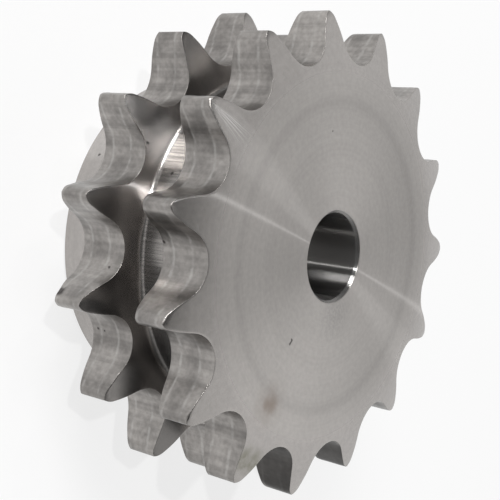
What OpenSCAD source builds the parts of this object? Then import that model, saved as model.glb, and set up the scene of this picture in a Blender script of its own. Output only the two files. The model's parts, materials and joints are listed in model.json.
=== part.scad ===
// Two-row chain sprocket with a hub on one side, turned and hobbed from one steel bar.
// The bore runs along +Z. The hub's end face lies on z = 0 and the flat toothed face is on top.

/* [Chain] */
// Pitch of the chain, from one roller's centre to the next
pitch = 12.7; // [12:0.1:16]
// Diameter of the chain's rollers
roller_d = 8.51; // [6:0.01:9]
// Height of the chain's link plates, which run in the groove between the rows
plate_h = 11.8; // [8:0.1:13]
// Distance between the middles of the two rows of teeth
row_pitch = 13.92; // [12:0.01:20]

/* [Teeth] */
// Number of teeth in each row
teeth = 15; // [14:1:24]
// Width of one row of teeth
tooth_w = 7.5; // [4.5:0.1:9]
// Height of the tooth tips above the pitch circle
tip_rise = 2.4; // [1.5:0.1:3]
// How much larger the roller's seat is than the roller, on the radius
seat_play = 0.05; // [0:0.01:0.2]
// Angle that the roller's seat spans
seat_angle = 126; // [114:1:134]
// Radius of the tooth flanks above the seat
flank_r = 20; // [14:0.5:40]
// Radius of the rounded corners at the tooth tips
tip_corner_r = 1.8; // [0.4:0.1:2.2]

/* [Side relief] */
// How much each side of a tooth is cut back at its tip
relief_depth = 1.6; // [1:0.1:1.8]
// Height of the side relief on the outer faces, measured down from the tips
relief_h = 10.9; // [7:0.1:12]
// Angle at which the relief leaves the flat face
relief_lead = 1; // [1:0.5:4]

/* [Groove] */
// Clearance between the link plates and the bottom of the groove
groove_play = 0.6; // [0.3:0.1:2]
// Radius of the corners at the bottom of the groove
groove_corner_r = 0.8; // [0.4:0.1:1.6]

/* [Hub and bore] */
// Overall length of the sprocket along its bore
length = 29.3; // [26:0.1:50]
// Diameter of the hub
hub_d = 46; // [24:0.5:47]
// Chamfer round the hub's end
hub_chamfer = 0.8; // [0.2:0.1:2]
// Radius of the corner between the hub and the toothed part
hub_corner_r = 0.8; // [0.3:0.1:1.2]
// Diameter of the pilot bore
bore_d = 12; // [6:0.5:18]
// Chamfer at both mouths of the bore
bore_chamfer = 0.4; // [0.2:0.1:1.5]

/* [Hidden] */
$fn = 180;
// How far a cutting shape runs past what it cuts
over = 1;
// Lap between the seat's circle and the flanks' circles, so that they cross and don't just touch
lap = 0.001;
// Angle by which the cut of one tooth space reaches past the middle of the teeth beside it
cut_overlap = 0.5;

pitch_r = pitch / (2 * sin(180 / teeth));
tip_r = pitch_r + tip_rise;
seat_r = roller_d / 2 + seat_play;
groove_r = pitch_r * cos(180 / teeth) - plate_h / 2 - groove_play;
hub_r = hub_d / 2;
bore_r = bore_d / 2;

// Planes of the two rows, from the hub's side up
back_z = length - row_pitch - tooth_w;
groove_low_z = back_z + tooth_w;
groove_high_z = length - tooth_w;
// The relief beside a rounded corner begins this far outside it
relief_gap = 0.3;
groove_relief_r = groove_r + groove_corner_r + relief_gap;
top_relief_r = tip_r - relief_h;
back_relief_r = max(top_relief_r, hub_r + hub_corner_r + relief_gap);

// Centre and radius of the arc that leaves the face at start_r and is relief_depth deep at the tip,
// as [radius from the axis, height above the face, arc radius]
function relief_arc(start_r) =
    let (run = tip_r - start_r,
         slope = atan(relief_depth / run),
         arc_r = norm([run, relief_depth]) / 2 / sin(slope - relief_lead))
    [start_r - arc_r * sin(relief_lead), -arc_r * cos(relief_lead), arc_r];

// What the side relief takes off a face that looks up from z = 0
module relief_cut(start_r) {
    arc = relief_arc(start_r);
    difference() {
        translate([arc[0], -relief_depth - over])
            square([tip_r + over - arc[0], relief_depth + 2 * over]);
        translate([arc[0], arc[1]]) circle(arc[2]);
    }
}

// Half section of one row from the axis out, with its lower face on z = 0
module row_section(low_relief_r, high_relief_r) {
    difference() {
        square([tip_r, tooth_w]);
        translate([0, tooth_w]) relief_cut(high_relief_r);
        mirror([0, 1]) relief_cut(low_relief_r);
    }
}

// Rounded inside corner against a face that looks up from z = 0, beside a drum of radius r
module inside_corner(r, corner_r) {
    difference() {
        translate([r - corner_r, -corner_r]) square(2 * corner_r);
        translate([r + corner_r, corner_r]) circle(corner_r);
    }
}

// Half section of the whole blank, as it comes off the lathe
module blank_section() {
    difference() {
        union() {
            square([hub_r, back_z + over]);
            translate([0, back_z]) row_section(back_relief_r, groove_relief_r);
            translate([0, back_z + over]) square([groove_r, length - back_z - 2 * over]);
            translate([0, groove_high_z]) row_section(groove_relief_r, top_relief_r);
            translate([0, back_z]) mirror([0, 1]) inside_corner(hub_r, hub_corner_r);
            translate([0, groove_low_z]) inside_corner(groove_r, groove_corner_r);
            translate([0, groove_high_z]) mirror([0, 1]) inside_corner(groove_r, groove_corner_r);
        }
        translate([0, -over]) square([bore_r, length + 2 * over]);
        bore_mouth();
        translate([0, length]) mirror([0, 1]) bore_mouth();
        hub_edge();
    }
}

// Half section of the chamfer at a mouth of the bore, on a face that looks down
module bore_mouth() {
    polygon([
        [bore_r - over, -over],
        [bore_r + bore_chamfer + over, -over],
        [bore_r - over, bore_chamfer + over]
    ]);
}

// Half section of the chamfer round the hub's end
module hub_edge() {
    polygon([
        [hub_r - hub_chamfer - over, -over],
        [hub_r + over, -over],
        [hub_r + over, hub_chamfer + over]
    ]);
}

// Outline of the space between two teeth: the roller's seat, a flank that curves away on each
// side, and a rounded corner where each flank meets the tip
module tooth_space() {
    seat = [pitch_r, 0];
    // Direction from the seat's centre to the upper end of the seat
    turn = 180 - seat_angle / 2;
    flank = seat + (seat_r + flank_r) * [cos(turn), sin(turn)];
    // Half the angle of one tooth and its space, widened so that neighbouring cuts overlap
    half = 180 / teeth + cut_overlap;
    // How far that direction runs until it meets the middle of the tooth
    reach = pitch_r * sin(half) / sin(turn - half);
    inner = seat + reach * [cos(turn), sin(turn)];
    outer = (tip_r + over) / cos(half) * [cos(half), sin(half)];
    translate(seat) circle(seat_r + lap);
    difference() {
        polygon([seat, inner, outer, [outer[0], -outer[1]], [inner[0], -inner[1]]]);
        translate(flank) circle(flank_r);
        translate([flank[0], -flank[1]]) circle(flank_r);
    }
    tip_corner(flank);
    mirror([0, 1]) tip_corner(flank);
}

// What rounds the corner between the tip circle and the flank circle round the given centre
module tip_corner(flank) {
    corner_reach = tip_r - tip_corner_r;
    flank_reach = flank_r - tip_corner_r;
    along = (corner_reach ^ 2 - flank_reach ^ 2 + norm(flank) ^ 2) / (2 * norm(flank));
    lean = atan2(flank[1], flank[0]) - acos(along / corner_reach);
    centre = corner_reach * [cos(lean), sin(lean)];
    far = tip_corner_r + over;
    to_flank = (centre - flank) / norm(centre - flank);
    to_tip = centre / norm(centre);
    difference() {
        polygon([centre, centre + far * to_flank, centre + far * (to_flank + to_tip), centre + far * to_tip]);
        translate(centre) circle(tip_corner_r + lap);
    }
}

module sprocket() {
    color([0.62, 0.61, 0.59])
        difference() {
            rotate_extrude() blank_section();
            for (i = [0 : teeth - 1])
                rotate(i * 360 / teeth)
                    translate([0, 0, back_z - over])
                        linear_extrude(length - back_z + 2 * over) tooth_space();
        }
}

sprocket();
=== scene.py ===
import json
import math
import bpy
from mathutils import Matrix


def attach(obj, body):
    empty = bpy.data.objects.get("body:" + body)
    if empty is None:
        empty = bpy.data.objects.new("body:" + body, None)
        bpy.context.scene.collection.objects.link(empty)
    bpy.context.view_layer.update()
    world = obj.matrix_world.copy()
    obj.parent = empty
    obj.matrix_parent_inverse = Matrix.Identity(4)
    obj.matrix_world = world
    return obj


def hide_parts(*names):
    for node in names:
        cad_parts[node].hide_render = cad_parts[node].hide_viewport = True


bl_info = {
    "name": "Chain sprocket",
    "version": (1, 0, 0),
    "blender": (4, 5, 0),
    "location": "3D View > Sidebar > Sprocket",
    "description": "Models a two-row chain sprocket, turned and hobbed from one steel bar",
    "category": "Add Mesh",
}

import bmesh
import bpy
import numpy as np
from mathutils import Quaternion, Vector

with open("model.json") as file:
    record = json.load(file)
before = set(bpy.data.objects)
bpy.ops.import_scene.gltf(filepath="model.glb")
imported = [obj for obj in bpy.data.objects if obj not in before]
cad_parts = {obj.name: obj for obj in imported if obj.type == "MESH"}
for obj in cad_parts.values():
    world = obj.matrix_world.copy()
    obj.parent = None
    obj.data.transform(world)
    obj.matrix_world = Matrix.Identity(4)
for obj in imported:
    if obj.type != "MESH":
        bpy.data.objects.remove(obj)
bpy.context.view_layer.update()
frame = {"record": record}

MM = 0.001
MOUNTS = {mount["name"]: mount for mount in frame["record"]["mounts"]}
CHAIN = MOUNTS["chain"]["dims"]
# The piece's attribute that holds the distance along the tooth outline
ALONG = "along_outline"
# The attribute that numbers the points of a ring while the piece is extruded
COLUMN = "column"

# Steps along each arc of the tooth outline, from the middle of a tooth space to the middle of a tip
SEAT_STEPS = 7
FLANK_STEPS = 5
CORNER_STEPS = 6
TIP_STEPS = 1
# Steps round a broken edge and round a small turned corner
EDGE_STEPS = 3
CORNER_RINGS = 4
FILLET_RINGS = 6
# Points of the mesh that lie nearer to each other than this are merged
MERGE_REACH = 1e-7
# Start of the random draws for the edges and the hob's facets
SEED = 7

# Places of two of the piece's materials; the first, turned steel, is on all other faces
HOBBED = 1
BORED = 2
# A face whose normal points more along the axis than this is a side and not a tooth space's wall
SIDE_NORMAL = 0.9


class SprocketSizes(bpy.types.PropertyGroup):
    """Sizes of the sprocket"""

    teeth: bpy.props.IntProperty(
        name="Teeth", description="Number of teeth in each row", default=CHAIN["count"], min=9
    )
    pitch_radius: bpy.props.FloatProperty(
        name="Pitch radius",
        description="Radius of the circle on which the chain's rollers lie",
        default=CHAIN["pcd_mm"] / 2 * MM,
        unit="LENGTH",
        precision=5,
    )
    tip_rise: bpy.props.FloatProperty(
        name="Tip rise",
        description="Height of the tooth tips above the pitch circle",
        default=2.4 * MM,
        unit="LENGTH",
        precision=5,
    )
    seat_radius: bpy.props.FloatProperty(
        name="Seat radius",
        description="Radius of the seat that a roller lies in",
        default=4.305 * MM,
        unit="LENGTH",
        precision=5,
    )
    seat_angle: bpy.props.FloatProperty(
        name="Seat angle",
        description="Angle that the roller's seat spans",
        default=math.radians(126),
        unit="ROTATION",
    )
    flank_radius: bpy.props.FloatProperty(
        name="Flank radius",
        description="Radius of the tooth flanks above the seat",
        default=20 * MM,
        unit="LENGTH",
        precision=5,
    )
    corner_radius: bpy.props.FloatProperty(
        name="Tip corner radius",
        description="Radius of the rounded corners at the tooth tips",
        default=1.8 * MM,
        unit="LENGTH",
        precision=5,
    )
    length: bpy.props.FloatProperty(
        name="Length",
        description="Overall length along the bore",
        default=MOUNTS["front_face"]["pos_m"][2],
        unit="LENGTH",
        precision=5,
    )
    tooth_width: bpy.props.FloatProperty(
        name="Tooth width",
        description="Width of one row of teeth",
        default=7.5 * MM,
        unit="LENGTH",
        precision=5,
    )
    row_pitch: bpy.props.FloatProperty(
        name="Row pitch",
        description="Distance between the middles of the two rows of teeth",
        default=13.92 * MM,
        unit="LENGTH",
        precision=5,
    )
    relief_depth: bpy.props.FloatProperty(
        name="Relief depth",
        description="How much each side of a tooth is cut back at its tip",
        default=1.6 * MM,
        unit="LENGTH",
        precision=5,
    )
    relief_height: bpy.props.FloatProperty(
        name="Relief height",
        description="Height of the relief on the flat face, measured down from the tips",
        default=10.9 * MM,
        unit="LENGTH",
        precision=5,
    )
    relief_lead: bpy.props.FloatProperty(
        name="Relief lead",
        description="Angle at which the relief leaves the flat face",
        default=math.radians(1),
        unit="ROTATION",
    )
    groove_radius: bpy.props.FloatProperty(
        name="Groove radius",
        description="Radius of the drum at the bottom of the groove between the rows",
        default=23.374 * MM,
        unit="LENGTH",
        precision=5,
    )
    corner_fillet: bpy.props.FloatProperty(
        name="Inside corner radius",
        description="Radius of the turned inside corners beside the groove and the hub",
        default=0.8 * MM,
        unit="LENGTH",
        precision=5,
    )
    relief_gap: bpy.props.FloatProperty(
        name="Relief gap",
        description="Flat left between an inside corner and the relief beside it",
        default=0.3 * MM,
        unit="LENGTH",
        precision=5,
    )
    hub_radius: bpy.props.FloatProperty(
        name="Hub radius",
        description="Radius of the hub",
        default=23 * MM,
        unit="LENGTH",
        precision=5,
    )
    hub_chamfer: bpy.props.FloatProperty(
        name="Hub chamfer",
        description="Chamfer round the hub's end",
        default=0.8 * MM,
        unit="LENGTH",
        precision=5,
    )
    bore_radius: bpy.props.FloatProperty(
        name="Bore radius",
        description="Radius of the pilot bore",
        default=MOUNTS["bore"]["dims"]["r_mm"] * MM,
        unit="LENGTH",
        precision=5,
    )
    bore_chamfer: bpy.props.FloatProperty(
        name="Bore chamfer",
        description="Chamfer at both mouths of the bore",
        default=0.4 * MM,
        unit="LENGTH",
        precision=5,
    )
    turned_edge: bpy.props.FloatProperty(
        name="Turned edge",
        description="Radius left on the outside corners by the lathe",
        default=0.08 * MM,
        unit="LENGTH",
        precision=5,
    )
    tooth_edge: bpy.props.FloatProperty(
        name="Tooth edge",
        description="Radius to which the edges of the teeth are brushed",
        default=0.03 * MM,
        unit="LENGTH",
        precision=5,
    )
    hob_feed: bpy.props.FloatProperty(
        name="Hob feed",
        description="Distance between the ridges that the hob leaves across a tooth space",
        default=3.1 * MM,
        unit="LENGTH",
        precision=5,
    )
    hob_radius: bpy.props.FloatProperty(
        name="Hob radius",
        description="Radius of the hob, which hollows the metal between two ridges",
        default=35 * MM,
        unit="LENGTH",
        precision=5,
    )
    hob_first: bpy.props.FloatProperty(
        name="First ridge",
        description="Distance of the first ridge from the front edge of a row",
        default=2.6 * MM,
        unit="LENGTH",
        precision=5,
    )
    hob_facet: bpy.props.FloatProperty(
        name="Facet height",
        description="Height of the low ridges between the cuts that shape a tooth space",
        default=0.008 * MM,
        unit="LENGTH",
        precision=6,
    )


class SprocketColours(bpy.types.PropertyGroup):
    """Colours of the sprocket and its floor"""

    turned: bpy.props.FloatVectorProperty(
        name="Turned steel",
        description="Faces left by the lathe",
        subtype="COLOR",
        default=(0.379, 0.359, 0.343),
    )
    hobbed: bpy.props.FloatVectorProperty(
        name="Hobbed steel",
        description="Tooth spaces left by the hob",
        subtype="COLOR",
        default=(0.295, 0.28, 0.267),
    )
    # Painted shade: the bore's wall is coloured far darker than the turned steel, for the shade inside
    # the bore
    bored_shaded: bpy.props.FloatVectorProperty(
        name="Bored steel",
        description="Wall of the bore",
        subtype="COLOR",
        default=(0.1, 0.1, 0.098),
    )
    floor: bpy.props.FloatVectorProperty(
        name="Floor",
        description="Studio floor",
        subtype="COLOR",
        default=(0.9, 0.9, 0.9),
    )


class Outline:
    """Outline of the teeth, as points with the direction that leads out of the metal at each."""

    def __init__(self, sizes):
        points, ways, cut = half_tooth_space(sizes)
        mirror = np.array([1.0, -1.0])
        points = np.concatenate([points[:0:-1] * mirror, points[:-1]])
        ways = np.concatenate([ways[:0:-1] * mirror, ways[:-1]])
        cut = np.concatenate([cut[:0:-1], cut[:-1]])
        turns = [turn_about_axis(2 * math.pi * tooth / sizes.teeth) for tooth in range(sizes.teeth)]
        self.points = np.concatenate([points @ turn.T for turn in turns])
        self.ways = np.concatenate([ways @ turn.T for turn in turns])
        self.cut = np.tile(cut, sizes.teeth)
        self.radius = np.hypot(*self.points.T)
        self.rays = self.points / self.radius[:, None]
        self.along = np.concatenate([[0.0], np.cumsum(np.hypot(*np.diff(self.points, axis=0).T))])


def direction(angle):
    """Unit vector in the plane at an angle from +X."""
    return np.array([math.cos(angle), math.sin(angle)])


def turn_about_axis(angle):
    """Matrix that turns a point of the plane about the axis of the bore."""
    return np.array([direction(angle), direction(angle + math.pi / 2)]).T


def arc(centre, radius, start, end, steps):
    """Points along an arc after its first, with the unit vectors from its centre to them."""
    ways = np.array([direction(angle) for angle in np.linspace(start, end, steps + 1)[1:]])
    return centre + radius * ways, ways


def half_tooth_space(sizes):
    """Outline from the middle of a tooth space to the middle of the tip beside it: its points, the
    directions out of the metal, and how much of the surface there was left by the hob."""
    tip_radius = sizes.pitch_radius + sizes.tip_rise
    seat = np.array([sizes.pitch_radius, 0.0])
    seat_end = math.pi - sizes.seat_angle / 2
    flank = seat + (sizes.seat_radius + sizes.flank_radius) * direction(seat_end)
    corner = corner_centre(flank, sizes.flank_radius, tip_radius, sizes.corner_radius)
    half_pitch = math.pi / sizes.teeth
    flank_end = math.atan2(*(corner - flank)[::-1])
    corner_end = math.atan2(*corner[::-1])
    # Where the corners of a tooth meet before they reach the tip circle, they end at its middle
    past_middle = math.hypot(*corner) * math.sin(corner_end - half_pitch)
    if past_middle > 0:
        corner_end = half_pitch - math.asin(past_middle / sizes.corner_radius)
    seat_points, seat_ways = arc(seat, sizes.seat_radius, math.pi, seat_end, SEAT_STEPS)
    flank_points, flank_ways = arc(flank, sizes.flank_radius, seat_end - math.pi, flank_end, FLANK_STEPS)
    corner_points, corner_ways = arc(corner, sizes.corner_radius, flank_end, corner_end, CORNER_STEPS)
    first = np.array([[sizes.pitch_radius - sizes.seat_radius, 0.0]])
    points = [first, seat_points, flank_points, corner_points]
    ways = [[[1.0, 0.0]], -seat_ways, flank_ways, corner_ways]
    cut = [np.ones(1 + SEAT_STEPS + FLANK_STEPS), np.linspace(1, 0, CORNER_STEPS + 1)[1:]]
    if past_middle < 0:
        tip_points, tip_ways = arc(np.zeros(2), tip_radius, corner_end, half_pitch, TIP_STEPS)
        points.append(tip_points)
        ways.append(tip_ways)
        cut.append(np.zeros(TIP_STEPS))
    ways[-1][-1] = direction(half_pitch)
    return np.concatenate(points), np.concatenate(ways), np.concatenate(cut)


def corner_centre(flank, flank_radius, tip_radius, corner_radius):
    """Centre of the arc that rounds the corner between a flank and the tip circle."""
    to_axis = tip_radius - corner_radius
    to_flank = flank_radius - corner_radius
    reach = math.hypot(*flank)
    along = (to_axis**2 - to_flank**2 + reach**2) / (2 * reach)
    return to_axis * direction(math.atan2(flank[1], flank[0]) - math.acos(along / to_axis))


def rounded_rings(corners, steps):
    """Rings, as (radius, height), along straight lines that meet in rounded corners. Each corner is
    (radius, height, rounding), and the first and the last are the ends of the line."""
    rings = [corners[0][:2]]
    for before, corner, after in zip(corners, corners[1:], corners[2:]):
        place = np.array(corner[:2])
        back = np.array(before[:2]) - place
        ahead = np.array(after[:2]) - place
        room_back, room_ahead = np.hypot(*back), np.hypot(*ahead)
        back /= room_back
        ahead /= room_ahead
        half = math.acos(np.clip(back @ ahead, -1, 1)) / 2
        cutoff = corner[2] / math.tan(half)
        middle = back + ahead
        centre = place + middle / np.hypot(*middle) * corner[2] / math.sin(half)
        first = place + cutoff * back - centre
        last = place + cutoff * ahead - centre
        # A ring just outside the corner keeps the straight stretch flat when it is shaded smooth
        margins = [min(corner[2], (room - cutoff) / 2) for room in (room_back, room_ahead)]
        rings.append(tuple(place + (cutoff + margins[0]) * back))
        for step in range(steps + 1):
            rings.append(tuple(centre + turn_arm(first, last, step / steps)))
        rings.append(tuple(place + (cutoff + margins[1]) * ahead))
    rings.append(corners[-1][:2])
    return rings


def turn_arm(first, last, share):
    """Turns one arm of an arc evenly into the other."""
    angle = math.atan2(first[0] * last[1] - first[1] * last[0], first @ last) * share
    return turn_about_axis(angle) @ first


def ring_station(outline, radius, height):
    """One ring of points, on the rays through the points of the tooth outline."""
    flat = outline.rays * radius
    return np.column_stack([flat, np.full(len(flat), height)])


def smooth_noise(rng, count, reach):
    """Random values from -1 to 1 that change slowly round the wheel."""
    window = np.hanning(2 * reach + 1)
    values = rng.uniform(-1, 1, count)
    wrapped = np.concatenate([values[-reach:], values, values[:reach]])
    smooth = np.convolve(wrapped, window, mode="valid")
    return smooth / np.abs(smooth).max()


class Side:
    """One side of a row of teeth: flat near the axis, and cut back towards the tips along an arc."""

    def __init__(self, sizes, height, outward, relief_radius):
        self.height = height
        self.outward = outward
        self.relief_radius = relief_radius
        run = sizes.pitch_radius + sizes.tip_rise - relief_radius
        slope = math.atan(sizes.relief_depth / run)
        arc_radius = math.hypot(run, sizes.relief_depth) / 2 / math.sin(slope - sizes.relief_lead)
        self.arc_radius = arc_radius
        self.arc_from_axis = relief_radius - arc_radius * math.sin(sizes.relief_lead)
        self.arc_below = arc_radius * math.cos(sizes.relief_lead)

    def at(self, flat, drop=0.0):
        """Points of this side over points of the plane, drop below its surface."""
        past = np.hypot(*flat.T) - self.arc_from_axis
        depth = np.maximum(self.arc_below - np.sqrt(self.arc_radius**2 - past**2), 0)
        return np.column_stack([flat, self.height - self.outward * (depth + drop)])


# Shares of the way from the start of the relief to a tooth's edge at which it has a ring of points
RELIEF_SHARES = (0.06, 0.22, 0.4, 0.58, 0.76, 0.92)
# Heights of the rings on a tooth space's wall between two ridges, as shares of the feed
FEED_SHARES = (0.03, 0.12, 0.3, 0.5, 0.7, 0.88, 0.97)
# The rings on a wall lie level up to this far from the middle of a row
LEVEL_REACH = 1.7 * MM
# Ridges on a wall, counted from the first, with one past each edge of the row
RIDGES = (-1, 0, 1, 2)
# Heights of rings, in metres, are the same if they agree to this many decimals
HEIGHT_DECIMALS = 7
# Heights of the facets' ridges, as shares of the greatest
FACET_SHARES = (0.5, 1.0)
# How much the edges of the teeth vary, as a share of their radius, and over how many points
EDGE_VARIATION = 0.6
EDGE_WAVE = 5


def edge_stations(outline, side, rounding):
    """Rings round the broken edge between a side and the tooth spaces, from the side down."""
    stations = []
    for step in range(EDGE_STEPS + 1):
        angle = math.pi / 2 * step / EDGE_STEPS
        inset = rounding * (1 - math.sin(angle))
        drop = rounding * (1 - math.cos(angle))
        stations.append(side.at(outline.points - inset[:, None] * outline.ways, drop))
    return stations


def relief_stations(outline, side, rounding):
    """Rings on a side between the circle at which its relief starts and the edge of the teeth."""
    edge = outline.points - rounding[:, None] * outline.ways
    start = outline.rays * side.relief_radius
    return [side.at(start + share * (edge - start)) for share in RELIEF_SHARES]


def level_heights(sizes, middle, height, lower, upper):
    """Heights of the points of one ring on a wall, which lies level in the middle of the row and
    follows the uneven edges near them."""
    half_width = sizes.tooth_width / 2
    marks = (-half_width, -LEVEL_REACH, LEVEL_REACH, half_width)
    rises = []
    for low, high in zip(lower[:, 2] - middle, upper[:, 2] - middle):
        level_low = max(-LEVEL_REACH, low + sizes.tooth_edge)
        level_high = min(LEVEL_REACH, high - sizes.tooth_edge)
        rises.append(np.interp(height - middle, marks, (low, level_low, level_high, high)))
    return middle + np.array(rises)


def wall_stations(outline, sizes, upper, lower, rng):
    """Rings down the walls of the tooth spaces, with the ridges and the facets that the hob leaves."""
    middle = (upper[:, 2] + lower[:, 2]).mean() / 2
    half_width = sizes.tooth_width / 2
    nominal_top = middle + half_width
    ridges = nominal_top - sizes.hob_first - sizes.hob_feed * np.array(RIDGES)
    heights = {
        round(ridge - share * sizes.hob_feed, HEIGHT_DECIMALS)
        for ridge in ridges
        for share in (0.0, *FEED_SHARES)
    }
    heights = [height for height in heights if abs(height - middle) < half_width - sizes.tooth_edge]
    columns = len(outline.points)
    crest = rng.uniform(*FACET_SHARES, columns) * (np.arange(columns) % 2)
    stations = []
    for height in sorted(heights, reverse=True):
        feed_share = (ridges[0] - height) / sizes.hob_feed % 1 - 0.5
        hollow = (feed_share * sizes.hob_feed) ** 2 / (2 * sizes.hob_radius)
        bulge = (hollow + sizes.hob_facet * crest) * outline.cut
        flat = outline.points + bulge[:, None] * outline.ways
        stations.append(np.column_stack([flat, level_heights(sizes, middle, height, lower, upper)]))
    return stations


# Worn spots on the teeth's edges, each as its angle round the wheel and its spread in degrees, and
# how much further the edge is rounded there in millimetres
FRONT_WEAR = (
    (36.4, 1.1, 0.34),
    (83.0, 0.8, 0.2),
    (106.6, 0.6, 0.26),
    (60.4, 0.8, 0.12),
    (11.5, 0.7, 0.12),
)
REAR_WEAR = ((82.0, 0.8, 0.28), (57.5, 0.7, 0.15))


def worn(outline, places):
    """How much further an edge is rounded at each point of the outline."""
    angles = np.degrees(np.arctan2(*outline.points.T[::-1]))
    extra = np.zeros(len(angles))
    for angle, spread, depth in places:
        extra += depth * MM * np.exp(-(((angles - angle) / spread) ** 2))
    return extra


def edge_rounding(outline, sizes, rng, wear):
    """Radius to which an edge of the teeth is rounded at each point of the outline."""
    wave = smooth_noise(rng, len(outline.points), EDGE_WAVE)
    return sizes.tooth_edge * (1 + EDGE_VARIATION * wave) + worn(outline, wear)


def row_stations(outline, sizes, front, back, rng, wear):
    """Rings over one row of teeth, from the start of the front relief to that of the back one."""
    front_wear, back_wear = wear
    front_edge = edge_rounding(outline, sizes, rng, front_wear)
    back_edge = edge_rounding(outline, sizes, rng, back_wear)
    front_rings = edge_stations(outline, front, front_edge)
    back_rings = edge_stations(outline, back, back_edge)[::-1]
    wall = wall_stations(outline, sizes, front_rings[-1], back_rings[0], rng)
    return [
        *relief_stations(outline, front, front_edge),
        *front_rings,
        *wall,
        *back_rings,
        *relief_stations(outline, back, back_edge)[::-1],
    ]


def sprocket_stations(sizes, outline):
    """All rings of the sprocket, from the middle of the bore over the front face and back into it."""
    rng = np.random.default_rng(SEED)
    tip_radius = sizes.pitch_radius + sizes.tip_rise
    back_height = sizes.length - sizes.row_pitch - sizes.tooth_width
    groove_low = back_height + sizes.tooth_width
    groove_high = sizes.length - sizes.tooth_width
    groove_start = sizes.groove_radius + sizes.corner_fillet + sizes.relief_gap
    front_start = tip_radius - sizes.relief_height
    back_start = max(front_start, sizes.hub_radius + sizes.corner_fillet + sizes.relief_gap)
    mouth_radius = sizes.bore_radius + sizes.bore_chamfer
    above_chamfer = sizes.hub_chamfer * 2
    edge = sizes.turned_edge

    front = Side(sizes, sizes.length, 1, front_start)
    groove_front = Side(sizes, groove_high, -1, groove_start)
    groove_back = Side(sizes, groove_low, 1, groove_start)
    back = Side(sizes, back_height, -1, back_start)

    over_face = rounded_rings(
        [
            (sizes.bore_radius, sizes.length / 2),
            (sizes.bore_radius, sizes.length - sizes.bore_chamfer, edge),
            (mouth_radius, sizes.length, edge),
            (front_start, sizes.length),
        ],
        CORNER_RINGS,
    )
    in_groove = rounded_rings(
        [
            (groove_start, groove_high),
            (sizes.groove_radius, groove_high, sizes.corner_fillet),
            (sizes.groove_radius, groove_low, sizes.corner_fillet),
            (groove_start, groove_low),
        ],
        FILLET_RINGS,
    )
    to_hub = rounded_rings(
        [
            (back_start, back_height),
            (sizes.hub_radius, back_height, sizes.corner_fillet),
            (sizes.hub_radius, above_chamfer),
        ],
        FILLET_RINGS,
    )
    round_hub = rounded_rings(
        [
            (sizes.hub_radius, above_chamfer),
            (sizes.hub_radius, sizes.hub_chamfer, edge),
            (sizes.hub_radius - sizes.hub_chamfer, 0.0, edge),
            (mouth_radius, 0.0, edge),
            (sizes.bore_radius, sizes.bore_chamfer, edge),
            (sizes.bore_radius, sizes.length / 2),
        ],
        CORNER_RINGS,
    )
    return [
        *[ring_station(outline, *ring) for ring in over_face],
        *row_stations(outline, sizes, front, groove_front, rng, (FRONT_WEAR, ())),
        *[ring_station(outline, *ring) for ring in in_groove],
        *row_stations(outline, sizes, groove_back, back, rng, ((), REAR_WEAR)),
        *[ring_station(outline, *ring) for ring in to_hub],
        *[ring_station(outline, *ring) for ring in round_hub[1:]],
    ]


def extrude_stations(name, stations, along):
    """Starts with a circle and extrudes it through every ring of points until it meets itself. The
    distance of each point along the tooth outline is kept for the materials."""
    bpy.ops.object.select_all(action="DESELECT")
    bpy.ops.mesh.primitive_circle_add(vertices=len(stations[0]), radius=stations[0][0][0])
    piece = bpy.context.object
    piece.name = name
    bpy.ops.object.mode_set(mode="EDIT")
    bpy.ops.mesh.select_all(action="SELECT")
    mesh = bmesh.from_edit_mesh(piece.data)
    column = mesh.verts.layers.int.new(COLUMN)
    for number, vertex in enumerate(mesh.verts):
        vertex[column] = number
    place_ring(piece, stations[0])
    for station in stations[1:]:
        bpy.ops.mesh.extrude_region_move()
        place_ring(piece, station)
    bpy.ops.mesh.select_all(action="SELECT")
    bpy.ops.mesh.remove_doubles(threshold=MERGE_REACH)
    bpy.ops.mesh.normals_make_consistent(inside=False)
    bpy.ops.object.mode_set(mode="OBJECT")
    columns = np.empty(len(piece.data.vertices), dtype=np.int32)
    piece.data.attributes[COLUMN].data.foreach_get("value", columns)
    piece.data.attributes.remove(piece.data.attributes[COLUMN])
    kept = piece.data.attributes.new(ALONG, "FLOAT", "POINT")
    kept.data.foreach_set("value", along[columns])
    bpy.ops.object.shade_smooth()
    return piece


def place_ring(piece, station):
    """Moves the selected ring of vertices to the station's points."""
    mesh = bmesh.from_edit_mesh(piece.data)
    column = mesh.verts.layers.int[COLUMN]
    for vertex in mesh.verts:
        if vertex.select:
            vertex.co = station[vertex[column]]
    bmesh.update_edit_mesh(piece.data)


class SPROCKET_OT_sprocket(bpy.types.Operator):
    """Turn and hob the sprocket"""

    bl_idname = "sprocket.sprocket"
    bl_label = "Sprocket"

    def execute(self, context):
        sizes = context.scene.sprocket_sizes
        colours = context.scene.sprocket_colours
        outline = Outline(sizes)
        piece = extrude_stations("steel_sprocket", sprocket_stations(sizes, outline), outline.along)
        for material in (
            turned_steel(sizes, colours.turned),
            hobbed_steel(sizes, colours.hobbed),
            bored_steel(colours.bored_shaded),
        ):
            piece.data.materials.append(material)
        root_radius = sizes.pitch_radius - sizes.seat_radius
        for face in piece.data.polygons:
            from_axis = math.hypot(*face.center[:2])
            if from_axis < sizes.bore_radius + sizes.bore_chamfer / 2:
                face.material_index = BORED
            elif from_axis > root_radius - sizes.tooth_edge and abs(face.normal.z) < SIDE_NORMAL:
                face.material_index = HOBBED
        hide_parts("sprocket")
        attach(piece, "root")
        return {"FINISHED"}


# The Mix node's sockets for colours, by number because their names are used more than once
MIX_FIRST = 6
MIX_SECOND = 7
MIX_RESULT = 2


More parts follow.
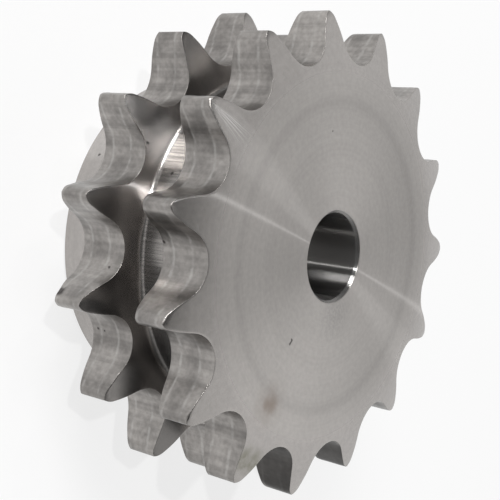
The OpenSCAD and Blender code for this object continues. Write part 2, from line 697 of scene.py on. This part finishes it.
class Nodes:
    """Short ways to add nodes to a material or a world."""

    def __init__(self, owner):
        owner.use_nodes = True
        self.tree = owner.node_tree
        self.tree.nodes.clear()

    def add(self, kind, inputs=None, **settings):
        """Adds a node, sets its properties, and links or sets its inputs."""
        node = self.tree.nodes.new("ShaderNode" + kind)
        for name, value in settings.items():
            setattr(node, name, value)
        for key, value in (inputs or {}).items():
            if isinstance(value, bpy.types.NodeSocket):
                self.tree.links.new(value, node.inputs[key])
            else:
                node.inputs[key].default_value = value
        return node

    def math(self, operation, *values, clamp=False):
        """Result of a Math node."""
        return self.add("Math", dict(enumerate(values)), operation=operation, use_clamp=clamp).outputs[0]

    def vector(self, operation, *values):
        """Vector that a Vector Math node gives."""
        return self.add("VectorMath", dict(enumerate(values)), operation=operation).outputs[0]

    def measure(self, operation, *values):
        """Number that a Vector Math node gives."""
        return self.add("VectorMath", dict(enumerate(values)), operation=operation).outputs["Value"]

    def scale(self, vector, factor):
        """Vector or colour times a number."""
        return self.add("VectorMath", {0: vector, "Scale": factor}, operation="SCALE").outputs[0]

    def remap(self, value, low, high, to_low=0.0, to_high=1.0):
        """Moves a value smoothly from one range to another."""
        inputs = {"Value": value, "From Min": low, "From Max": high, "To Min": to_low, "To Max": to_high}
        return self.add("MapRange", inputs, interpolation_type="SMOOTHSTEP").outputs[0]

    def mix(self, share, base, colour):
        """Part of the way from a linked colour to a plain one."""
        inputs = {"Factor": share, MIX_FIRST: base, MIX_SECOND: (*colour, 1.0)}
        return self.add("Mix", inputs, data_type="RGBA").outputs[MIX_RESULT]

    def bump(self, height, distance):
        """Normal of a surface with a bump of the given distance in millimetres."""
        inputs = {"Strength": 1.0, "Distance": distance * MM, "Height": height}
        return self.add("Bump", inputs).outputs[0]

    def finish(self, shader):
        """Links a shader to the material's output."""
        self.add("OutputMaterial", {"Surface": shader})


class AxisPlaces:
    """Where a point of the sprocket lies about its axis, as sockets of a material."""

    def __init__(self, nodes):
        self.place = nodes.add("TexCoord").outputs["Object"]
        x, y, self.z = nodes.add("SeparateXYZ", {0: self.place}).outputs
        flat = nodes.add("CombineXYZ", {0: x, 1: y}).outputs[0]
        self.radius = nodes.measure("LENGTH", flat)
        self.angle = nodes.math("ARCTAN2", y, x)
        backwards = nodes.math("MULTIPLY", y, -1.0)
        around = nodes.add("CombineXYZ", {0: backwards, 1: x}).outputs[0]
        around = nodes.vector("NORMALIZE", around)
        normal = nodes.add("NewGeometry").outputs["Normal"]
        # The direction across the tool marks, in which a turned surface spreads its reflections
        self.across = nodes.vector("CROSS_PRODUCT", normal, around)


class Pattern:
    """A noise in a finish: its cells to the metre and its detail, the two of its values between
    which it is used, and what those two are turned into."""

    def __init__(self, scale, detail, between=(0.0, 1.0), into=(0.0, 1.0)):
        self.scale = scale
        self.detail = detail
        self.between = between
        self.into = into

    def at(self, nodes, place):
        """The noise at a place."""
        inputs = {"Vector": place, "Scale": self.scale, "Detail": self.detail}
        return nodes.add("TexNoise", inputs).outputs["Fac"]

    def along(self, nodes, distance):
        """The noise along a distance."""
        inputs = {"W": distance, "Scale": self.scale, "Detail": self.detail}
        return nodes.add("TexNoise", inputs, noise_dimensions="1D").outputs["Fac"]

    def turned_into(self, nodes, value):
        """What a value of the noise is turned into."""
        return nodes.remap(value, *self.between, *self.into)


class Marks:
    """Small marks of one kind: their colour and how much they cover, the share of their radius
    inside which they have their full depth, and the place and radius of each in millimetres."""

    def __init__(self, colour, cover, core, *spots):
        self.colour = colour
        self.cover = cover
        self.core = core
        self.spots = spots

    def mask(self, nodes, where):
        """1 on a mark, and 0 away from all of them."""
        mask = None
        for *place, radius in self.spots:
            apart = nodes.measure("DISTANCE", where, mm(*place))
            spot = nodes.remap(apart, radius * MM, radius * self.core * MM)
            mask = spot if mask is None else nodes.math("MAXIMUM", mask, spot)
        return mask

    def over(self, nodes, base, mask):
        """A colour with the marks on it."""
        return nodes.mix(nodes.math("MULTIPLY", mask, self.cover), base, self.colour)


def mm(*values):
    """Values given in millimetres, in metres."""
    return tuple(value * MM for value in values)


def product(nodes, values):
    """Product of several values."""
    result = values[0]
    for value in values[1:]:
        result = nodes.math("MULTIPLY", result, value)
    return result


def changed(nodes, tone, mask, change):
    """A tone raised or lowered by a share where a mask is set."""
    return nodes.math("MULTIPLY", tone, nodes.math("MULTIPLY_ADD", mask, change, 1.0))


def above(nodes, places, height):
    """1 above a height in millimetres, and 0 below it."""
    return nodes.math("GREATER_THAN", places.z, height * MM)


def below(nodes, places, height):
    """1 below a height in millimetres, and 0 above it."""
    return nodes.math("LESS_THAN", places.z, height * MM)


def ragged_place(nodes, places, scale, reach):
    """Places moved about by a fine noise, so that marks get ragged edges."""
    texture = nodes.add("TexNoise", {"Vector": places.place, "Scale": scale, "Detail": RAGGED_DETAIL})
    shift = nodes.vector("SUBTRACT", texture.outputs["Color"], (0.5, 0.5, 0.5))
    return nodes.vector("ADD", places.place, nodes.scale(shift, reach * MM))


# How marks get ragged edges: the detail of the noise that moves them, and its cells to the metre and
# its reach in millimetres for small marks on the turned faces, for the painted shade in the groove
# and the brown stain's halo, and for marks in the tooth spaces
RAGGED_DETAIL = 2.0
RAGGED_MARKS = (1800.0, 0.5)
RAGGED_SHADE_AND_HALO = (700.0, 2.4)
RAGGED_WALL_MARKS = (1800.0, 0.4)

# The worn tip of one tooth: where the scratches start, in millimetres, where they head and how far
# they spread to each side, in degrees, how long they are, in millimetres, and the share of that over
# which they are full, the height that they lie above, how much they cover and their colour
FAN_TIP = (26.6, 19.6, 0.0)
FAN_WAY = 216.0
FAN_SPREAD = 14.0
FAN_LENGTH = 8.5
FAN_FULL_LENGTH = 0.3
FAN_ABOVE = 25.0
FAN_COVER = 0.9
# Painted highlight: the scratches are coloured near white for the glints that they catch
FAN_GLINT_COLOUR = (0.95, 0.94, 0.92)
# The scratches' lines, to the radian
FAN_LINES = Pattern(62.0, 1.0, (0.5, 0.6))


def scratch_glint_fan(nodes, places):
    """Mask of the fine scratches that spread over the flat face from one worn tooth tip, painted near
    white as highlights.
    """
    from_tip = nodes.vector("SUBTRACT", places.place, mm(*FAN_TIP))
    ahead = direction(math.radians(FAN_WAY))
    aside = direction(math.radians(FAN_WAY + 90.0))
    forward = nodes.measure("DOT_PRODUCT", from_tip, (*ahead, 0.0))
    sideways = nodes.measure("DOT_PRODUCT", from_tip, (*aside, 0.0))
    angle = nodes.math("ARCTAN2", sideways, forward)
    lines = FAN_LINES.turned_into(nodes, FAN_LINES.along(nodes, angle))
    spread = nodes.math("ABSOLUTE", angle)
    within = nodes.remap(spread, math.radians(FAN_SPREAD), math.radians(FAN_SPREAD / 2))
    length = nodes.remap(forward, *mm(FAN_LENGTH, FAN_FULL_LENGTH * FAN_LENGTH))
    return product(nodes, (lines, within, length, above(nodes, places, FAN_ABOVE)))


# Roughness and colour of the narrow spread of reflections, and how much narrower it is along the
# tool marks than across them
LINE_ROUGHNESS = 0.2
LINE_COLOUR = (0.8, 0.78, 0.76, 1.0)
LINE_NARROWING = -0.86


def narrow_spread(nodes, places, normal, colour, roughness, narrowing):
    """Shader that spreads reflections in thin lines across the tool marks."""
    inputs = {
        "Color": colour,
        "Roughness": roughness,
        "Anisotropy": narrowing,
        "Tangent": places.across,
        "Normal": normal,
    }
    return nodes.add("BsdfAnisotropic", inputs).outputs[0]


def streaked_metal(nodes, base, places, normal, roughness, anisotropy, shine, narrowing=LINE_NARROWING):
    """Metal that spreads its reflections across the tool marks, with a share of a far narrower spread
    that draws the lamps out into thin lines."""
    body = nodes.add(
        "BsdfPrincipled",
        {
            "Base Color": base,
            "Metallic": 1.0,
            "Roughness": roughness,
            "Anisotropic": anisotropy,
            "Tangent": places.across,
            "Normal": normal,
        },
    )
    lines = narrow_spread(nodes, places, normal, LINE_COLOUR, LINE_ROUGHNESS, narrowing)
    return nodes.add("MixShader", {0: shine, 1: body.outputs[0], 2: lines}).outputs[0]


# Noises on the turned faces: fine and coarse rings, clouds, grain, and the grooving tool's chatter
# round the drum, whose tone also paints the whole drum darker as painted shade
RINGS = Pattern(2600.0, 3.0, (0.25, 0.75), (0.98, 1.02))
COARSE_RINGS = Pattern(520.0, 2.0, (0.25, 0.75), (0.985, 1.015))
CLOUDS = Pattern(60.0, 4.0, (0.3, 0.7), (0.95, 1.04))
GRAIN = Pattern(1500.0, 3.0, (0.25, 0.75), (0.95, 1.05))
CHATTER_AND_SHADE = Pattern(2600.0, 2.0, (0.35, 0.65), (-0.42, -0.16))
# How much faster the rings follow each other along the bore than across it
RINGS_ALONG = 1.7
# The flat face: the radii between which it begins and the height that it lies above, in millimetres,
# and how much brighter it is painted, a painted sheen
FLAT_EDGE = (29.0, 23.0)
FLAT_ABOVE = 27.2
FLAT_SHEEN = 0.11
# Painted sheen: how much brighter one side of it is painted than its middle, from and to these radii
SIDE_SHEEN = 0.12
SIDE_START = (9.0, 21.0)
# The faint dark ring of painted shade on it: its radius, its reach to each side, its height and its
# change of tone
RING_RADIUS = 20.8
RING_REACH = 1.9
RING_ABOVE = 28.6
RING_SHADE = -0.1
# The drum in the groove: how far above its radius it ends, and the heights that it lies between
DRUM_EDGE = (0.4, 0.1)
DRUM_HEIGHTS = (15.0, 22.0)
# Painted shade on one side of it: the angles between which it begins, and its change of tone
SHADED_DRUM_SIDE = (52.0, 40.0)
DRUM_SIDE_SHADE = -0.34
# The whole groove: how far above the drum's radius it starts, and the heights that it lies between
GROOVE_START = 0.5
GROOVE_HEIGHTS = (14.0, 24.0)

# Marks on the turned faces, and painted shade in the groove
PIT_COLOUR = (0.035, 0.03, 0.03)
BROWN = (0.17, 0.115, 0.075)
DARK_SPOTS = Marks(
    PIT_COLOUR,
    0.85,
    0.4,
    (-7.5, 11.4, 29.3, 0.3),
    (-7.65, 11.6, 29.3, 0.3),
    (-7.8, 11.8, 29.3, 0.3),
    (16.1, 17.0, 17.8, 0.32),
    (15.2, 16.9, 19.0, 0.22),
    (20.1, 17.9, 15.2, 0.34),
    (22.4, 16.8, 15.2, 0.2),
    (17.1, 15.4, 3.2, 0.3),
    (16.9, -2.6, 29.3, 0.16),
)
# Painted shade: dark patches over the groove between the rows of teeth, where it lies in shade
GROOVE_SHADE = Marks(
    (0.07, 0.068, 0.066),
    0.65,
    0.4,
    (24.6, 16.4, 14.7, 4.0),
    (27.8, 5.5, 15.2, 6.5),
    (25.5, 9.0, 15.2, 4.5),
    (15.4, 27.5, 14.2, 5.0),
    (3.5, 28.0, 15.0, 5.0),
    (-9.5, 24.8, 15.3, 8.0),
    (-16.0, 22.0, 15.3, 7.0),
    (-20.6, 23.0, 14.6, 7.0),
)
BROWN_STAIN = Marks(BROWN, 0.55, 0.0, (-14.1, 17.1, 29.3, 1.9), (-13.7, 17.8, 29.3, 1.5))
BROWN_HALO = Marks(BROWN, 0.3, 0.0, (-13.8, 17.6, 29.3, 4.2))
GREEN_STAINS = Marks((0.17, 0.165, 0.12), 0.9, 0.1, (-19.4, 22.6, 28.4, 2.6), (-20.6, 21.2, 28.5, 2.6))
GREY_SMUDGE = Marks((0.2, 0.195, 0.19), 0.42, 0.0, (-7.9, 1.2, 29.3, 5.4))
SMUDGE_MOTTLE = Pattern(2600.0, 4.0, (0.36, 0.62), (0.35, 1.0))
STAIN_MOTTLE = Pattern(900.0, 3.0, (0.34, 0.64), (0.5, 1.0))

# How turned steel shines: its roughness, how much rougher the flat face is, its anisotropy, and the
# share of thin lines in it
TURNED_ROUGHNESS = 0.22
FLAT_ROUGHER = 0.07
TURNED_ANISOTROPY = 0.8
TURNED_SHINE = 0.09
# How much of the lines a dark spot takes away, and what share of that the painted shade in the groove
# does
SPOT_DULLS = -0.08
GROOVE_SHADE_DULLS = 0.75
# The glare on the groove's walls: its share, colour, roughness and narrowing
GLARE = 0.06
GLARE_COLOUR = (0.8, 0.76, 0.75, 1.0)
GLARE_ROUGHNESS = 0.3
GLARE_NARROWING = -0.88
# Height of the turned rings in millimetres, and of the chatter marks as a multiple of it
TURNED_BUMP = 0.0025
CHATTER_BUMP = 2.0


def turned_tone(nodes, places, along, rings, flat, drum, chatter):
    """How bright the turned faces are at a place, against their plain colour, with painted sheen on the
    flat face and painted shade in a ring on it and over the drum.
    """
    tones = (
        RINGS.turned_into(nodes, rings),
        COARSE_RINGS.turned_into(nodes, COARSE_RINGS.along(nodes, along)),
        CLOUDS.turned_into(nodes, CLOUDS.at(nodes, places.place)),
        GRAIN.turned_into(nodes, GRAIN.at(nodes, places.place)),
    )
    tone = product(nodes, tones)
    # Painted sheen: the flat face is painted brighter, and most so on one side
    outer = nodes.remap(places.radius, *mm(*SIDE_START))
    side = nodes.math("MULTIPLY", outer, nodes.math("SINE", places.angle))
    tone = changed(nodes, tone, flat, nodes.math("MULTIPLY_ADD", side, SIDE_SHEEN, FLAT_SHEEN))
    # Painted shade: a faint dark ring on the flat face, near where the relief begins
    from_ring = nodes.math("ABSOLUTE", nodes.math("SUBTRACT", places.radius, RING_RADIUS * MM))
    ring = nodes.remap(from_ring, RING_REACH * MM, 0.0)
    ring = nodes.math("MULTIPLY", ring, above(nodes, places, RING_ABOVE))
    tone = changed(nodes, tone, ring, RING_SHADE)
    # Painted shade: the drum is painted darker all over, with the chatter marks in that, and more on one
    # side
    painted_drum_shade = nodes.remap(places.angle, *map(math.radians, SHADED_DRUM_SIDE), 0.0, DRUM_SIDE_SHADE)
    chatter_and_shade = nodes.math("ADD", CHATTER_AND_SHADE.turned_into(nodes, chatter), painted_drum_shade)
    return changed(nodes, tone, drum, chatter_and_shade)


def turned_steel(sizes, colour):
    """Turned faces, drum and hub, with fine rings that spread reflections across them."""
    material = bpy.data.materials.new("turned_steel")
    nodes = Nodes(material)
    places = AxisPlaces(nodes)
    ragged = ragged_place(nodes, places, *RAGGED_MARKS)
    blurred = ragged_place(nodes, places, *RAGGED_SHADE_AND_HALO)
    along = nodes.math("MULTIPLY_ADD", places.z, RINGS_ALONG, places.radius)
    rings = RINGS.along(nodes, along)
    chatter = CHATTER_AND_SHADE.along(nodes, nodes.math("MULTIPLY", places.angle, sizes.groove_radius))
    flat = nodes.remap(places.radius, *mm(*FLAT_EDGE))
    flat = nodes.math("MULTIPLY", flat, above(nodes, places, FLAT_ABOVE))
    low, high = DRUM_HEIGHTS
    drum_start, drum_end = (sizes.groove_radius + edge for edge in mm(*DRUM_EDGE))
    drum = nodes.remap(places.radius, drum_start, drum_end)
    drum = product(nodes, (drum, above(nodes, places, low), below(nodes, places, high)))

    tone = turned_tone(nodes, places, along, rings, flat, drum, chatter)
    base = nodes.scale(tuple(colour), tone)
    # Painted shade in the groove
    groove_shade = GROOVE_SHADE.mask(nodes, blurred)
    base = GROOVE_SHADE.over(nodes, base, groove_shade)
    mottle = SMUDGE_MOTTLE.turned_into(nodes, SMUDGE_MOTTLE.at(nodes, places.place))
    smudge = nodes.math("MULTIPLY", GREY_SMUDGE.mask(nodes, places.place), mottle)
    base = GREY_SMUDGE.over(nodes, base, smudge)
    base = BROWN_HALO.over(nodes, base, BROWN_HALO.mask(nodes, blurred))
    base = BROWN_STAIN.over(nodes, base, BROWN_STAIN.mask(nodes, ragged))
    mottle = STAIN_MOTTLE.turned_into(nodes, STAIN_MOTTLE.at(nodes, places.place))
    stains = nodes.math("MULTIPLY", GREEN_STAINS.mask(nodes, ragged), mottle)
    base = GREEN_STAINS.over(nodes, base, stains)
    dark = DARK_SPOTS.mask(nodes, ragged)
    base = DARK_SPOTS.over(nodes, base, dark)
    # Painted highlight: the scratches are painted near white
    scratches = nodes.math("MULTIPLY", scratch_glint_fan(nodes, places), FAN_COVER)
    base = nodes.mix(scratches, base, FAN_GLINT_COLOUR)

    height = nodes.math("MULTIPLY_ADD", nodes.math("MULTIPLY", chatter, drum), CHATTER_BUMP, rings)
    normal = nodes.bump(height, TURNED_BUMP)
    roughness = nodes.math("MULTIPLY_ADD", flat, FLAT_ROUGHER, TURNED_ROUGHNESS)
    # Dark spots and the painted shade in the groove dull both the thin lines and the glare
    dull = nodes.math("MAXIMUM", dark, nodes.math("MULTIPLY", groove_shade, GROOVE_SHADE_DULLS))
    shine = nodes.math("MULTIPLY_ADD", dull, SPOT_DULLS, TURNED_SHINE)
    shader = streaked_metal(nodes, base, places, normal, roughness, TURNED_ANISOTROPY, shine)
    low, high = GROOVE_HEIGHTS
    groove = nodes.math("GREATER_THAN", places.radius, sizes.groove_radius + GROOVE_START * MM)
    groove = product(nodes, (groove, above(nodes, places, low), below(nodes, places, high)))
    glare = narrow_spread(nodes, places, normal, GLARE_COLOUR, GLARE_ROUGHNESS, GLARE_NARROWING)
    share = nodes.math("MULTIPLY", groove, nodes.math("MULTIPLY_ADD", dull, -GLARE, GLARE))
    nodes.finish(nodes.add("MixShader", {0: share, 1: shader, 2: glare}).outputs[0])
    return material


# Noises in the tooth spaces: facets and bands along the outline, clouds and grain
FACETS = Pattern(1500.0, 2.0, (0.3, 0.7), (0.94, 1.06))
BANDS = Pattern(420.0, 1.0, (0.3, 0.7), (0.88, 1.1))
WALL_CLOUDS = Pattern(260.0, 4.0, (0.32, 0.68), (0.76, 1.16))
WALL_GRAIN = Pattern(1700.0, 4.0, (0.3, 0.7), (0.9, 1.1))
# The pale lines painted on the hob's ridges as highlights: their half width and that of their bright
# middle, in millimetres, the wobble that bends them and its reach, the gaps in them and what is left
# of the lines there, how much they cover and their colour
FEED_LINE = (0.36, 0.02)
FEED_WOBBLE = Pattern(350.0, 2.0)
FEED_WOBBLE_REACH = 0.5
FEED_GAPS = Pattern(900.0, 2.0, (0.4, 0.62))
FEED_IN_GAPS = 0.25
FEED_COVER = 0.22
FEED_HIGHLIGHT_COLOUR = (0.72, 0.71, 0.69)
HOBBED_ROUGHNESS = 0.34
# Height of the grain in millimetres, and of the facets as a share of it
HOBBED_BUMP = 0.012
FACETS_BUMP = 0.8
# Painted shade in three tooth spaces on the -X side, and pits in their walls
WALL_SHADE = Marks(
    (0.035, 0.034, 0.033),
    0.85,
    0.65,
    (-25.7, 13.9, 26.0, 5.5),
    (-30.4, 2.2, 26.0, 5.2),
    (-30.0, -7.6, 26.0, 4.6),
)
WALL_PITS = Marks(
    PIT_COLOUR,
    0.85,
    0.4,
    (10.0, 24.8, 22.2, 0.3),
    (6.1, 26.3, 13.4, 0.3),
    (-3.2, 26.1, 9.1, 0.26),
    (-3.4, 26.1, 10.3, 0.2),
    (4.4, 31.7, 9.6, 0.9),
)


def feed_highlights(nodes, sizes, places):
    """Mask of the broken pale lines painted as highlights on the ridges that the hob's feed leaves."""
    depth = nodes.math("SUBTRACT", sizes.length, places.z)
    depth = nodes.math("MODULO", depth, sizes.row_pitch)
    reach = FEED_WOBBLE_REACH * MM
    wobble = nodes.math("MULTIPLY_ADD", FEED_WOBBLE.at(nodes, places.place), reach, -reach / 2)
    depth = nodes.math("ADD", depth, wobble)
    to_line = nodes.math("PINGPONG", nodes.math("SUBTRACT", depth, sizes.hob_first), sizes.hob_feed / 2)
    lines = nodes.remap(to_line, *mm(*FEED_LINE))
    whole = FEED_GAPS.turned_into(nodes, FEED_GAPS.at(nodes, places.place))
    strength = nodes.math("MULTIPLY_ADD", whole, 1 - FEED_IN_GAPS, FEED_IN_GAPS)
    return nodes.math("MULTIPLY", lines, strength)


def hobbed_steel(sizes, colour):
    """Walls of the tooth spaces, with highlights painted along the hob's feed lines, its facets across
    them, and painted shade in three of them.
    """
    material = bpy.data.materials.new("hobbed_steel")
    nodes = Nodes(material)
    places = AxisPlaces(nodes)
    ragged = ragged_place(nodes, places, *RAGGED_WALL_MARKS)
    outline = nodes.add("Attribute", attribute_name=ALONG).outputs["Fac"]
    facets = FACETS.along(nodes, outline)
    grain = WALL_GRAIN.at(nodes, places.place)
    tones = (
        FACETS.turned_into(nodes, facets),
        BANDS.turned_into(nodes, BANDS.along(nodes, outline)),
        WALL_CLOUDS.turned_into(nodes, WALL_CLOUDS.at(nodes, places.place)),
        WALL_GRAIN.turned_into(nodes, grain),
    )
    base = nodes.scale(tuple(colour), product(nodes, tones))
    # Painted highlights on the hob's ridges
    feed = nodes.math("MULTIPLY", feed_highlights(nodes, sizes, places), FEED_COVER)
    base = nodes.mix(feed, base, FEED_HIGHLIGHT_COLOUR)
    # Painted shade in three tooth spaces on the -X side
    base = WALL_SHADE.over(nodes, base, WALL_SHADE.mask(nodes, ragged))
    base = WALL_PITS.over(nodes, base, WALL_PITS.mask(nodes, ragged))
    normal = nodes.bump(nodes.math("MULTIPLY_ADD", facets, FACETS_BUMP, grain), HOBBED_BUMP)
    inputs = {"Base Color": base, "Metallic": 1.0, "Roughness": HOBBED_ROUGHNESS, "Normal": normal}
    nodes.finish(nodes.add("BsdfPrincipled", inputs).outputs[0])
    return material


# The rings on the bore's wall, how much of the tone they make and what the rest of it is, and their
# height in millimetres
BORE_RINGS = Pattern(1800.0, 3.0)
BORE_TONE = (0.3, 0.7)
BORE_BUMP = 0.002
# Roughness, anisotropy, the share of thin lines, and how narrow those are
BORE_ROUGHNESS = 0.34
BORE_ANISOTROPY = 0.85
BORE_SHINE = 0.36
BORE_NARROWING = -0.84


def bored_steel(colour):
    """Wall of the bore, with rings round it and thin bright lines along it, coloured dark as painted
    shade inside the bore.
    """
    material = bpy.data.materials.new("bored_steel")
    nodes = Nodes(material)
    places = AxisPlaces(nodes)
    rings = BORE_RINGS.along(nodes, places.z)
    # Painted shade: the given colour is far darker than the steel
    base = nodes.scale(tuple(colour), nodes.math("MULTIPLY_ADD", rings, *BORE_TONE))
    normal = nodes.bump(rings, BORE_BUMP)
    nodes.finish(
        streaked_metal(
            nodes, base, places, normal, BORE_ROUGHNESS, BORE_ANISOTROPY, BORE_SHINE, BORE_NARROWING
        )
    )
    return material


# The camera's place and the point of the sprocket in line with its lens, in millimetres, how far it
# is rolled, in degrees, its lens, and how near it sees, in millimetres
CAMERA_PLACE = (51.8, 113.2, 109.5)
CAMERA_AIM = (7.7, 9.8, 14.65)
CAMERA_ROLL = 97.35
CAMERA_LENS = 78.13
CAMERA_SENSOR = 36.0
CAMERA_SHIFT = (0.1031, -0.0697)
CAMERA_NEAR = 10.0

# The lamps, each with its direction from the sprocket, its side in metres and its power in watts,
# all at one distance from a point on the bore's axis
LAMPS = {
    "key_lamp": ((0.523, 0.417, 0.743), 0.035, 7.5),
    "soft_lamp": ((0.743, 0.02, 0.669), 0.5, 2.6),
    "rim_lamp": ((0.708, -0.125, 0.695), 0.035, 0.8),
    "low_lamp": ((0.88, 0.2, 0.43), 0.5, 18.0),
}
LAMP_DISTANCE = 1.5
LAMP_TARGET = (0.0, 0.0, 20.0)

# The bright wall of the studio: its middle, the angles from it between which it fades, the heights
# above the horizon between which it ends under the ceiling, and the brightness of wall and room
WALL_WAY = (-0.439, -0.703, 0.559)
WALL_EDGE = (33.0, 50.0)
WALL_TOP = (57.0, 66.0)
WALL_GLOW = 0.92
ROOM_GLOW = 0.1
# All walls are lit up to the first heights, and the ceiling's panel starts between the second, in
# degrees above the horizon
HORIZON_TOP = (18.0, 30.0)
HORIZON_GLOW = 0.5
CEILING_START = (79.0, 85.0)
CEILING_GLOW = 0.7
# A dimmer patch where two panels of the wall meet: its middle, its edge and how much light it takes
SEAM_WAY = (-0.256, -0.633, 0.731)
SEAM_EDGE = (9.0, 18.0)
SEAM_SHADE = 0.42

FLOOR_SIZE = 6.0
WHITE = (1.0, 1.0, 1.0, 1.0)
# Share of the floor that looks plain white wherever it is seen, which keeps its shadows light
FLOOR_GLOW = 0.75


def add_camera():
    """Camera that looks at the sprocket as the photograph does."""
    data = bpy.data.cameras.new("camera")
    data.lens = CAMERA_LENS
    data.sensor_width = CAMERA_SENSOR
    data.shift_x, data.shift_y = CAMERA_SHIFT
    data.clip_start = CAMERA_NEAR * MM
    camera = bpy.data.objects.new("camera", data)
    bpy.context.scene.collection.objects.link(camera)
    place = Vector(mm(*CAMERA_PLACE))
    look = Vector(mm(*CAMERA_AIM)) - place
    camera.location = place
    camera.rotation_mode = "QUATERNION"
    roll = Quaternion((0.0, 0.0, 1.0), math.radians(CAMERA_ROLL))
    camera.rotation_quaternion = look.to_track_quat("-Z", "Y") @ roll
    bpy.context.scene.camera = camera


def add_lamp(name, way, side, power):
    """Square softbox that faces the sprocket from the given direction."""
    data = bpy.data.lights.new(name, "AREA")
    data.shape = "SQUARE"
    data.size = side
    data.energy = power
    lamp = bpy.data.objects.new(name, data)
    bpy.context.scene.collection.objects.link(lamp)
    target = Vector(mm(*LAMP_TARGET))
    lamp.location = target + Vector(way).normalized() * LAMP_DISTANCE
    lamp.rotation_mode = "QUATERNION"
    lamp.rotation_quaternion = (target - lamp.location).to_track_quat("-Z", "Y")


def add_floor(colour):
    """Wide pale floor under the hub's end."""
    bpy.ops.object.select_all(action="DESELECT")
    bpy.ops.mesh.primitive_plane_add(size=FLOOR_SIZE, location=(0.0, 0.0, 0.0))
    floor = bpy.context.object
    floor.name = "floor"
    material = bpy.data.materials.new("floor")
    nodes = Nodes(material)
    shade = nodes.add("BsdfDiffuse", {"Color": (*colour, 1.0)})
    glow = nodes.add("Emission", {"Color": WHITE, "Strength": 1.0})
    path = nodes.add("LightPath").outputs
    seen = nodes.math("ADD", path["Is Camera Ray"], path["Is Glossy Ray"])
    seen = nodes.math("ADD", seen, path["Is Transmission Ray"], clamp=True)
    share = nodes.math("MULTIPLY", seen, FLOOR_GLOW)
    nodes.finish(nodes.add("MixShader", {0: share, 1: shade.outputs[0], 2: glow.outputs[0]}).outputs[0])
    floor.data.materials.append(material)


def near_way(nodes, way, middle, edge):
    """1 near a direction of the world and 0 away from it. The edge is two angles in degrees: the one
    where it starts to fall, and the one where it ends."""
    towards = nodes.measure("DOT_PRODUCT", way, Vector(middle).normalized())
    inner, outer = (math.cos(math.radians(angle)) for angle in edge)
    return nodes.remap(towards, outer, inner)


def sines(angles):
    """Heights on the unit sphere of angles above the horizon."""
    return [math.sin(math.radians(angle)) for angle in angles]


def add_world():
    """Room with a bright wall that the flat face reflects, walls lit up to a height above the
    horizon, and a panel in the ceiling."""
    world = bpy.data.worlds.new("studio")
    bpy.context.scene.world = world
    nodes = Nodes(world)
    way = nodes.add("TexCoord").outputs["Generated"]
    height = nodes.add("SeparateXYZ", {0: way}).outputs["Z"]
    low, high = sines(WALL_TOP)
    wall = near_way(nodes, way, WALL_WAY, WALL_EDGE)
    wall = nodes.math("MULTIPLY", wall, nodes.remap(height, high, low))
    wall = changed(nodes, wall, near_way(nodes, way, SEAM_WAY, SEAM_EDGE), -SEAM_SHADE)
    low, high = sines(HORIZON_TOP)
    horizon = nodes.math("MULTIPLY", nodes.remap(height, high, low), HORIZON_GLOW / WALL_GLOW)
    low, high = sines(CEILING_START)
    ceiling = nodes.math("MULTIPLY", nodes.remap(height, low, high), CEILING_GLOW / WALL_GLOW)
    bright = nodes.math("MAXIMUM", wall, nodes.math("MAXIMUM", horizon, ceiling))
    strength = nodes.math("MULTIPLY_ADD", bright, WALL_GLOW - ROOM_GLOW, ROOM_GLOW)
    glow = nodes.add("Background", {"Color": WHITE, "Strength": strength})
    nodes.add("OutputWorld", {"Surface": glow.outputs[0]})


class SPROCKET_OT_stage(bpy.types.Operator):
    """Set up the floor, the lamps and the camera"""

    bl_idname = "sprocket.stage"
    bl_label = "Stage"

    def execute(self, context):
        colours = context.scene.sprocket_colours
        context.scene.view_settings.view_transform = "Standard"
        add_floor(colours.floor)
        add_world()
        for name, (way, side, power) in LAMPS.items():
            add_lamp(name, way, side, power)
        add_camera()
        return {"FINISHED"}


class SPROCKET_PT_panel(bpy.types.Panel):
    """Lists the sprocket's operators and sizes"""

    bl_idname = "SPROCKET_PT_panel"
    bl_label = "Sprocket"
    bl_space_type = "VIEW_3D"
    bl_region_type = "UI"
    bl_category = "Sprocket"

    def draw(self, context):
        layout = self.layout
        layout.operator("sprocket.sprocket")
        layout.operator("sprocket.stage")
        for group in (context.scene.sprocket_sizes, context.scene.sprocket_colours):
            for name in group.__annotations__:
                layout.prop(group, name)


CLASSES = (
    SprocketSizes,
    SprocketColours,
    SPROCKET_OT_sprocket,
    SPROCKET_OT_stage,
    SPROCKET_PT_panel,
)


def register():
    for made in CLASSES:
        bpy.utils.register_class(made)
    bpy.types.Scene.sprocket_sizes = bpy.props.PointerProperty(type=SprocketSizes)
    bpy.types.Scene.sprocket_colours = bpy.props.PointerProperty(type=SprocketColours)


def unregister():
    del bpy.types.Scene.sprocket_colours
    del bpy.types.Scene.sprocket_sizes
    for made in reversed(CLASSES):
        bpy.utils.unregister_class(made)


def main():
    register()
    bpy.ops.sprocket.sprocket()
    bpy.ops.sprocket.stage()


if __name__ == "__main__":
    main()
